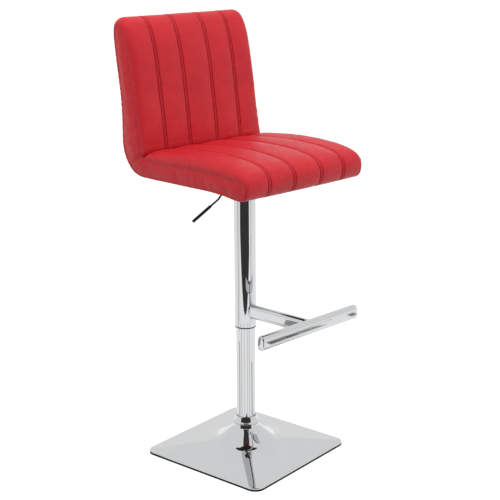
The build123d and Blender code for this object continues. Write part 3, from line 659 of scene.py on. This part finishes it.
# Down each side: the seam and its stitch row, puckers all along, and gathers at the two turns.
for gap, seed in ((gap_left, 71), (gap_right, 72)):
    height -= swell(gap, 1.8, 1.4) + swell(gap - EDGE_ROW, 1.1, 1.3)
    height += 0.6 * wobble(run, seed, 15.0)[:, None] * np.exp(-gap / 9.0) * (gap > 1)
    gathers = swell(row - NOSE_TURN, 1.5, 1.2) + swell(row - BACK_TURN, 0.9, 1.2)
    height += (gathers * wobble(run, seed + 5, 8.0))[:, None] * np.exp(-gap / 8.0) * (gap > 1)
rear_line = np.interp(REAR_SEAM, row, run)
off = (run - rear_line)[:, None]
height -= swell(off, 1.4, 1.8) + swell(np.abs(off) - EDGE_ROW, 0.7, 1.6)
top = plain + normal * height[:, :, None]
top[:, :, 1] -= bow
coarse_sides = None
c_grid, c_run, c_shift, coarse_sides, side_shift = padding_shift()
c_shift = soften(c_shift, passes=5)
# Less of the shift is taken where the form turns tightly.
c_row = np.interp(c_run, run, row)
at_rows = (0, 7, 9.5, REAR_SEAM, 16, 24, NOSE_END, 33.5, 36, 47)
share = (0.75, 0.75, 0.3, 0.3, 0.6, 0.6, 0.3, 0.4, 0.75, 0.75)
c_shift = c_shift * np.interp(c_row, at_rows, share)[:, None, None]
top = top + resample(c_shift, c_run, c_grid[:, :, 0], run, plain[:, :, 0])
sides = []
used = 0
for n, sign in enumerate((-1, 1)):
    line = top[:, 0 if sign < 0 else -1]
    found = side_mesh(line[:, 1:], rings=(1.5, 3.0, 4.3, 5.7, 7.5), spacing=5.0)
    x = sign * (HALF - SEAM_IN + side_height(found[0], found[2], sign, fine=True) + SIDE_DIP)
    if coarse_sides:
        # Each point takes the mean shift of the coarse side's six nearest, nothing at the seam.
        at = coarse_sides[n][1][0]
        count = len(at) - c_grid.shape[0]
        moved = side_shift[used : used + count, 0]
        used += count
        inner_at = at[c_grid.shape[0] :]
        for k in range(len(line), len(found[0])):
            d = np.hypot(*(inner_at - found[0][k]).T)
            near = np.argsort(d)[:6]
            w = 1 / (d[near] + 1.0) ** 2
            x[k] += 0.6 * (w @ moved[near]) / w.sum() * smoothstep(found[2][k], 0, 8)
    sides.append((sign, found, x))
verts, faces = closed_form(top, sides)
cover = make(
    "quilted_cover", np.array(verts) * MM, faces, finish["cover_leather"], "lift", 75.0,
    ("seat_cover", "back_cover", "seat_foam", "back_foam"),
)
# How deep each point lies in a seam, for the painted shade that darkens its line there.
from_row = np.abs(np.abs(plain[:, :, 0, None] - np.array(SEAMS)).min(2) - ROW)
shade = swell(from_row, 1, 1.25) * (front_share(row) * smoothstep(row, 0, 0.5))[:, None]
shade = np.maximum(shade, swell(np.minimum(gap_left, gap_right), 0.3, 1.6))
shade = np.maximum(shade, swell(off, 0.9, 1.8))
on_sides = [swell(found[2][len(row) :], 0.3, 1.6) for _, found, _ in sides]
shade = np.concatenate([shade.ravel(), *on_sides])
cover.data.attributes.new("seam", "FLOAT", "POINT").data.foreach_set("value", shade.astype(np.float32))


# ------------------------------------------------------------------------ stitching
# A stitch's cross-sections: share of its length, share of its thickness, lift off the cover in mm.
STITCH = ((0, 0.45, -0.3), (0.2, 1.0, 0.15), (0.5, 1.0, 0.3), (0.8, 1.0, 0.15), (1, 0.45, -0.3))
STITCH_SIDES = 6


def stitch_row(path, out, pitch=4.4, length=3.1, thick=0.42):
    """Six-sided stitches laid one after another along a path, partly sunk in the cover, in mm."""
    run = np.r_[0, np.cumsum(np.linalg.norm(np.diff(path, axis=0), axis=1))]
    verts, faces = [], []
    for at in np.arange(pitch, run[-1] - pitch, pitch):
        a, b = (np.array([np.interp(at + o, run, path[:, c]) for c in range(3)]) for o in (0, length))
        n = np.array([np.interp(at, run, out[:, c]) for c in range(3)])
        n /= np.linalg.norm(n)
        d = (b - a) / np.linalg.norm(b - a)
        side = np.cross(d, n)
        start = len(verts)
        for t, r, lift in STITCH:
            mid = a + (b - a) * t + n * lift
            for k in range(STITCH_SIDES):
                turn = 2 * math.pi * k / STITCH_SIDES
                verts.append(mid + (side * math.cos(turn) + n * math.sin(turn)) * thick * r)
        faces += grid_faces(len(STITCH), STITCH_SIDES, closed_cols=True, start=start)
        for ring in (start, len(verts) - STITCH_SIDES):
            faces.append(tuple(range(ring, ring + STITCH_SIDES)))
    return verts, faces


def add_row(store, path, out):
    """Adds a row of stitches to the (verts, faces) kept in store."""
    v, f = stitch_row(path, out)
    store[1].extend(tuple(i + len(store[0]) for i in face) for face in f)
    store[0].extend(v)


out = normals_of(top)
store = ([], [])
on_back = np.flatnonzero((row > 0.9) & (row < REAR_SEAM - 0.3))
on_seat = np.flatnonzero((row > NOSE_END + 0.2) & (row < LAST - 1.2))
for s in SEAMS:
    for side in (-1, 1):
        j = int(np.argmin(np.abs(plain[0, :, 0] - (s + side * ROW))))
        for part in (on_back, on_seat):
            add_row(store, top[part, j], out[part, j])
for gap in (gap_left, gap_right):
    j = np.argmin(np.abs(gap - EDGE_ROW), axis=1)
    for part in (on_back, on_seat):
        add_row(store, top[part, j[part]], out[part, j[part]])
make("seam_stitches", np.array(store[0]) * MM, store[1], stitching, "lift", 60.0)


# ----------------------------------------------------------------------------- base
def span(node):
    """Bottom and top of a CAD node in mm."""
    lo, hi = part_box(node)
    return lo.z / MM, hi.z / MM


def radius_of(node):
    """Half a round CAD node's width in mm."""
    lo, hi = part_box(node)
    return (hi.x - lo.x) / 2 / MM


def base_shell():
    """The pressed shell: four flat panels with soft ridges and a flared bell, with its thickness."""
    half, corner, inner_corner = 195.0, 28.0, 5.0
    turn = math.radians(6.0)                # the square stands turned this far on the column
    rim, rise = 9.0, 17.5                   # a panel's height at the rim, and its rise to the bell
    low = span("edge_trim")[1] - 1.2        # the rim's skirt reaches down inside the edge trim
    fold, wall = 2.5, 1.6                   # the rim's rounding, and the sheet's thickness
    blend = 1.2                             # how softly the bell runs out into the panels
    bell_top = span("base_shell")[1]
    # The bell's outside, (r, z); where it runs below the panels they cover it.
    bell = np.array([
        (34, bell_top), (36.2, 73), (39.6, 67), (44, 62.2), (54, 52.8), (64, 44), (74, 36),
        (83, 30.2), (92, 26.8), (104, 23), (125, 17), (180, 3), (300, -20),
    ])
    bell_r = bell[0, 0]
    angles = np.linspace(0, 2 * math.pi, 481)[:-1]

    def rim_radius(a, h, c):
        """Distance out to a rounded square of half side h and corner c."""
        ux, uy = abs(math.cos(a)), abs(math.sin(a))
        s = h - c
        if ux * s >= uy * h or uy * s >= ux * h:
            return h / max(ux, uy)
        b = (ux + uy) * s
        return b + math.sqrt(max(b * b - 2 * s * s + c * c, 0))

    slope = np.gradient(bell[:, 1], bell[:, 0])

    def flare(r):
        """Height of the bell's smooth curve at radius r."""
        k = int(np.clip(np.searchsorted(bell[:, 0], r, "right") - 1, 0, len(bell) - 2))
        h = bell[k + 1, 0] - bell[k, 0]
        t = (r - bell[k, 0]) / h
        z = (2 * t**3 - 3 * t**2 + 1) * bell[k, 1] + (t**3 - 2 * t**2 + t) * h * slope[k]
        return z + (3 * t**2 - 2 * t**3) * bell[k + 1, 1] + (t**3 - t**2) * h * slope[k + 1]

    # Rings from the bell's top out to a square 70 mm from the middle, then on to the rim.
    wide = half - 70.0
    insets = [0, 0.15, 0.45, 0.9, 1.5, 2.2, 3, 4.2, 5.8, 8, 11, 15, 20, *np.linspace(26, wide, 24)]
    rings_at = [(t, wide) for t in np.linspace(0, 1, 60)[:-1] ** 1.4]
    rings_at += [(1, d) for d in insets[::-1]]
    outer_rings, inner_rings = [], []
    for share, inset in rings_at:
        ring_o, ring_i = [], []
        tight = inner_corner + (corner - inner_corner) * math.exp(-inset / 9.0)
        for a in angles:
            r = rim_radius(a, half - inset, tight)
            r = bell_r + (r - bell_r) * share
            panel = rim + rise * inset / wide
            z = blend * np.logaddexp(panel / blend, flare(r) / blend)
            drop = fold - math.sqrt(max(0, fold**2 - (fold - min(inset, fold)) ** 2))
            ring_o.append((r * math.cos(a + turn), r * math.sin(a + turn), z - drop))
            ri = r - 1.5 * (1 - smoothstep(inset, 0, 14))
            ring_i.append((ri * math.cos(a + turn), ri * math.sin(a + turn), z - wall))
        outer_rings.append(ring_o)
        inner_rings.append(ring_i)
    foot = [[(x, y, low) for x, y, _ in outer_rings[-1]], [(x, y, low) for x, y, _ in inner_rings[-1]]]
    rings = outer_rings + foot + inner_rings[::-1]
    verts = [p for ring in rings for p in ring]
    return np.array(verts) * MM, grid_faces(len(rings), len(angles), True, True)


v, f = base_shell()
make("domed_base", v, f, finish["chrome"], "base", 35.0, ("base_shell",))


# ------------------------------------------------------------ column and collars
def pipe(radius, wall, low, high, edge):
    """A pipe's (r, z) section; extra points near its ends keep the straight walls' shading straight."""
    bore, near = radius - wall, 1.2
    section = [(bore, low), (radius, low), (radius, low + near), (radius, high - near)]
    section += [(radius, high), (bore, high), (bore, high - near), (bore, low + near)]
    return rounded(section, [edge, edge, 0, 0, edge, edge, 0, 0])


lo_z, hi_z = span("column_tube")
tube = radius_of("column_tube")
v, f = revolve(pipe(tube, 1.5, lo_z, hi_z, 0.4))
make("lower_tube", v, f, finish["chrome"], "base", 35.0, ("column_tube",))
lo_z, hi_z = span("sleeve_tube")
sleeve = radius_of("sleeve_tube")
v, f = revolve(pipe(sleeve, 1.2, lo_z, hi_z, 0.5))
make("upper_tube", v, f, finish["chrome"], "lift", 35.0, ("sleeve_tube",))
lo_z, hi_z = span("neck_ring")
# The collar: an upright foot, a flare that leans in to the tube, and a rolled lip.
bore, foot, foot_h = tube + 0.5, tube + 10.9, 3.2
neck = [(bore, hi_z - 0.5), (bore, lo_z), (foot - 0.3, lo_z), (foot, lo_z + foot_h)]
rise = hi_z - lo_z - foot_h - 1.0
lean = [(foot - 7.3 * t**0.8, lo_z + foot_h + rise * t**1.25) for t in np.linspace(0, 1, 16)[1:]]
lip = [(tube + 3.3, hi_z - 0.3), (tube + 2.4, hi_z + 0.2), (tube + 1.2, hi_z)]
v, f = revolve(rounded(neck, [0.3, 0.3, 1.0, 1.2]) + lean + lip)
make("neck_collar", v, f, finish["chrome"], "base", 35.0, ("neck_ring",))


# ------------------------------------------------------------------------ footrest
def oval(height, depth, steps=18):
    """A flat-oval section on end: (u across, w up), counter-clockwise.

    Extra points by the ends of its flat sides keep their shading flat.
    """
    r, flat, near = depth / 2, (height - depth) / 2, 0.8
    pts = []
    for k in range(steps + 1):
        a = math.pi * k / steps
        pts.append((r * math.cos(a), flat + r * math.sin(a)))
    pts += [(-r, flat - near), (-r, near - flat)]
    for k in range(steps + 1):
        a = math.pi + math.pi * k / steps
        pts.append((r * math.cos(a), -flat + r * math.sin(a)))
    return pts + [(r, near - flat), (r, flat - near)]


lo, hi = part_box("footrest_bar")
bar_y, bar_z = (lo.y + hi.y) / 2 / MM, (lo.z + hi.z) / 2 / MM
bar_h, bar_d = (hi.z - lo.z) / MM, (hi.y - lo.y) / MM
bar_x = hi.x / MM
bar_wall = 1.5
section = oval(bar_h, bar_d)
rings = []
for x in np.linspace(-bar_x, bar_x, 25):
    rings.append([(x, bar_y + u, bar_z + w) for u, w in section])
inner = oval(bar_h - 2 * bar_wall, bar_d - 2 * bar_wall)
for x in np.linspace(bar_x, -bar_x, 25):
    rings.append([(x, bar_y + u, bar_z + w) for u, w in inner])
verts = [p for r in rings for p in r]
faces = grid_faces(len(rings), len(section), True, True)
make(
    "foot_bar", np.array(verts) * MM, faces, finish["chrome"],
    "lift", 35.0, ("footrest_bar",),
)
# An end cap: a plug inside the bar, then a low dome. Each ring is (beyond the bar's end, inset).
CAP = ((-12, 1.6), (0, 1.6), (0.02, 0), (0.6, 0.0), (1.4, 0.35), (2.2, 1.2), (2.8, 2.6), (3.0, 4.2))
verts, faces = [], []
for sign in (-1, 1):
    start, rings = len(verts), []
    for x, inset in CAP:
        ring = oval(bar_h - 2 * inset, bar_d - 2 * inset)
        rings.append([(sign * (bar_x + x), bar_y + u, bar_z + w) for u, w in ring])
    n = len(rings[0])
    verts += [p for r in rings for p in r]
    faces += grid_faces(len(rings), n, closed_cols=True, start=start)
    for base_ring in (start, start + (len(rings) - 1) * n):
        centre = len(verts)
        x = verts[base_ring][0]
        verts.append((x, bar_y, bar_z))
        faces += [(base_ring + k, base_ring + (k + 1) % n, centre) for k in range(n)]
make(
    "bar_end_caps", np.array(verts) * MM, faces, finish["chrome"],
    "lift", 35.0, ("footrest_caps",),
)

# The arm drops a little from the bar to the sleeve, and swells at both ends into its welds.
arm_drop, weld_run, weld_swell, swell_over = 5.5, 4.0, 3.2, 16.0
tallest = 19.0                 # no weld stands taller than the bar's own side
arm_lo, arm_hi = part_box("footrest_arm")
arm_h, arm_w = (arm_hi.z - arm_lo.z) / MM, (arm_hi.x - arm_lo.x) / MM
flat = (bar_h - bar_d) / 2
rings = []
for share in np.r_[0, 0.006, 0.014, 0.024, np.linspace(0.05, 0.95, 19), 0.976, 0.986, 0.994, 1]:
    ring = []
    for u, w in oval(arm_h, arm_w):
        near = -math.sqrt(max(sleeve**2 - u * u, 0)) + 0.2
        far = bar_y + math.sqrt(max((bar_d / 2) ** 2 - max(abs(w) - flat, 0) ** 2, 0)) - 0.2
        y = near + (far - near) * share
        out_by = 0.0
        for d in (near - y, y - far):
            if d < weld_run:
                curve = 1 - math.sqrt(max(0, 1 - (1 - d / weld_run) ** 2))
                out_by = max(out_by, weld_swell * curve)
        k = 1 + out_by / swell_over
        top_w = min(abs(w) * k, tallest) * (1 if w > 0 else -1)
        ring.append((u * k, y, bar_z - arm_drop * (1 - share) + top_w))
    rings.append(ring)
# The arm's inside is the same rings, drawn in and taken in reverse.
rings += [[(x * 0.86, y, bar_z + (z - bar_z) * 0.92) for x, y, z in r] for r in rings[::-1]]
verts = [p for r in rings for p in r]
faces = grid_faces(len(rings), len(rings[0]), True, True)
make(
    "foot_arm", np.array(verts) * MM, faces, finish["chrome"],
    "lift", 35.0, ("footrest_arm",),
)


# ------------------------------------------------------------------ floor and light
def plane(name, corners, material):
    """A flat face that only dresses the picture."""
    mesh = bpy.data.meshes.new(name)
    mesh.from_pydata(corners, [], [tuple(range(len(corners)))])
    obj = bpy.data.objects.new(name, mesh)
    bpy.context.scene.collection.objects.link(obj)
    mesh.materials.append(material)
    obj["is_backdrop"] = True
    return obj


paper = Nodes("white_floor")
paper.set(Base_Color=(0.25, 0.25, 0.25, 1), Roughness=0.9, Specular_IOR_Level=0.0)
# The floor looks white to the camera and in the chrome, but throws little light on the stool.
lit = paper.remap(paper.add("ShaderNodeLightPath").outputs["Is Diffuse Ray"], 0, 1, 0.97, 0.15)
paper.set(Emission_Color=(1, 1, 1, 1), Emission_Strength=lit)
wide = 30.0
plane("floor", [(-wide, -wide, 0), (wide, -wide, 0), (wide, wide, 0), (-wide, wide, 0)], paper.material)

# The way from the stool towards the viewer, about the column's axis.
view_turn = math.radians(225.34)


def spot(forward, sideways, z):
    """A point ahead of the stool on the viewer's side, and to the viewer's right of that line."""
    c, s = math.cos(view_turn), math.sin(view_turn)
    return (forward * c - sideways * s, forward * s + sideways * c, z)


# In an all-white studio chrome would have no bands. These grey cards stand for the dark room
# round it; only reflections see them, so they leave the floor white and cast no shadow.
def card(name, corners, grey=0.04):
    """A flat grey card that nothing but a reflection can see."""
    shade = Nodes(name)
    shade.set(Base_Color=(0.01, 0.01, 0.01, 1), Roughness=1.0, Specular_IOR_Level=0.0)
    shade.set(Emission_Color=(1, 1, 1, 1), Emission_Strength=grey)
    obj = plane(name, corners, shade.material)
    obj.visible_camera = False
    obj.visible_diffuse = False
    obj.visible_shadow = False


# Heights just off the floor keep the cards that cross from lying in one plane.
WEDGE_Z, DARK_Z, BAR_Z = 0.003, 0.004, 0.005
wall_far, wall_left, wall_right, wall_top = 4.2, -5.2, 4.17, 2.6
near_edge = [(1.19, -0.35), (1.19, 0.35), (1.45, 1.44)]
far_edge = [(wall_far, wall_right), (wall_far, wall_left), (1.5, -1.86)]
card("dark_floor", [spot(ahead, aside, DARK_Z) for ahead, aside in near_edge + far_edge])
card("dark_wall", [
    spot(wall_far, wall_left, 0.0), spot(wall_far, wall_right, 0.0),
    spot(wall_far, wall_right, wall_top), spot(wall_far, wall_left, wall_top),
])
card("dark_roof", [
    spot(3.6, -1.5, wall_top), spot(3.6, 1.5, wall_top), spot(0.5, 0.35, 3.1), spot(0.5, -0.35, 3.1),
])
# Wedges on the floor round the column: bearing from the viewer, width, near and far ends, grey.
WEDGES = (
    (-79, 7, 1.0, 5.0, 0.35), (-63, 2.5, 1.1, 5.0, 0.25), (61, 3.5, 1.1, 5.0, 0.25),
    (73, 4, 1.2, 5.0, 0.45), (-50, 13, 0.24, 1.1, 0.84), (-16, 9, 0.24, 1.1, 0.9),
    (20, 9, 0.24, 1.1, 0.86), (44, 12, 0.24, 1.1, 0.88), (78, 18, 0.24, 0.7, 0.66),
    (-80, 16, 0.24, 0.9, 0.66),
)
for n, (bearing, width, near, far, grey) in enumerate(WEDGES):
    lo_a, hi_a = math.radians(bearing - width / 2), math.radians(bearing + width / 2)
    ends = [(near, lo_a), (near, hi_a), (far, hi_a), (far, lo_a)]
    card(f"wedge_{n}", [spot(d * math.cos(a), d * math.sin(a), WEDGE_Z) for d, a in ends], grey)
# Under the seat: a dark card stands in for the shade beneath it, so the chrome below mirrors painted shade
# instead of lit red leather.
under, under_z = [(-0.18, -0.195), (0.18, -0.195), (0.18, 0.19), (-0.18, 0.19)], 0.752
card("seat_shade", [(x, y, under_z) for x, y in under], 0.02)
# On the floor in front, small grey cards for the dark room that only the footrest's flat side mirrors:
# corners and grey.
for name, corners, grey in (
    ("bar_streak", [(0.63, -1.00), (0.63, -1.026), (0.86, -1.02), (0.93, -1.006)], 0.1),
    ("bar_line", [(0.60, -1.036), (0.60, -1.042), (0.98, -1.036), (0.98, -1.03)], 0.35),
    ("bar_blotch", [(1.05, -1.00), (1.05, -1.022), (1.09, -1.026), (1.085, -1.00)], 0.1),
):
    card(name, [(x, y, BAR_Z) for x, y in corners], grey)

# The world too is white to the camera and in the chrome, and dimmer as a light on matt faces.
world = bpy.data.worlds.new("studio")
bpy.context.scene.world = world
world.use_nodes = True
tree = world.node_tree
light = tree.nodes["Background"]
path = tree.nodes.new("ShaderNodeLightPath")
level = tree.nodes.new("ShaderNodeMapRange")
tree.links.new(path.outputs["Is Diffuse Ray"], level.inputs["Value"])
level.inputs["To Min"].default_value = 1.0
level.inputs["To Max"].default_value = 0.38
light.inputs["Color"].default_value = (1, 1, 1, 1)
tree.links.new(level.outputs[0], light.inputs["Strength"])


def softbox(name, place, aim, size, power):
    """An area light that neither the camera nor a reflection can see."""
    data = bpy.data.lights.new(name, "AREA")
    data.shape = "RECTANGLE"
    data.size, data.size_y = size
    data.energy = power
    obj = bpy.data.objects.new(name, data)
    bpy.context.scene.collection.objects.link(obj)
    obj.location = place
    obj.rotation_mode = "QUATERNION"
    obj.rotation_quaternion = (Vector(aim) - Vector(place)).to_track_quat("-Z", "Y")
    obj.visible_camera = False
    obj.visible_glossy = False


softbox("top_light", spot(0.6, 0.2, 3.4), (0, 0, 0.7), (2.4, 2.4), 46)
softbox("right_light", spot(1.5, 2.4, 1.7), (0, 0, 0.8), (1.6, 2.2), 28)
softbox("left_light", spot(1.6, -2.6, 2.6), (0, 0, 0.8), (1.6, 2.2), 42)


# --------------------------------------------------------------------------- camera
eye = (-2.0726, -2.1160, 1.3743)
azimuth, pitch, roll = (math.radians(v) for v in (-44.66, 15.33, -0.34))
back = Vector((math.sin(azimuth) * math.cos(pitch), -math.cos(azimuth) * math.cos(pitch), math.sin(pitch)))
level_right = Vector((math.cos(azimuth), math.sin(azimuth), 0))
level_up = back.cross(level_right)
right = level_right * math.cos(roll) + level_up * math.sin(roll)
up = level_up * math.cos(roll) - level_right * math.sin(roll)
lens = bpy.data.cameras.new("camera")
lens.sensor_width = 36.0
lens.lens = 84.43
camera = bpy.data.objects.new("camera", lens)
bpy.context.scene.collection.objects.link(camera)
axes = Matrix((right, up, back)).transposed().to_4x4()
camera.matrix_world = Matrix.Translation(eye) @ axes
bpy.context.scene.camera = camera
bpy.context.scene.view_settings.view_transform = "Standard"

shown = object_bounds()
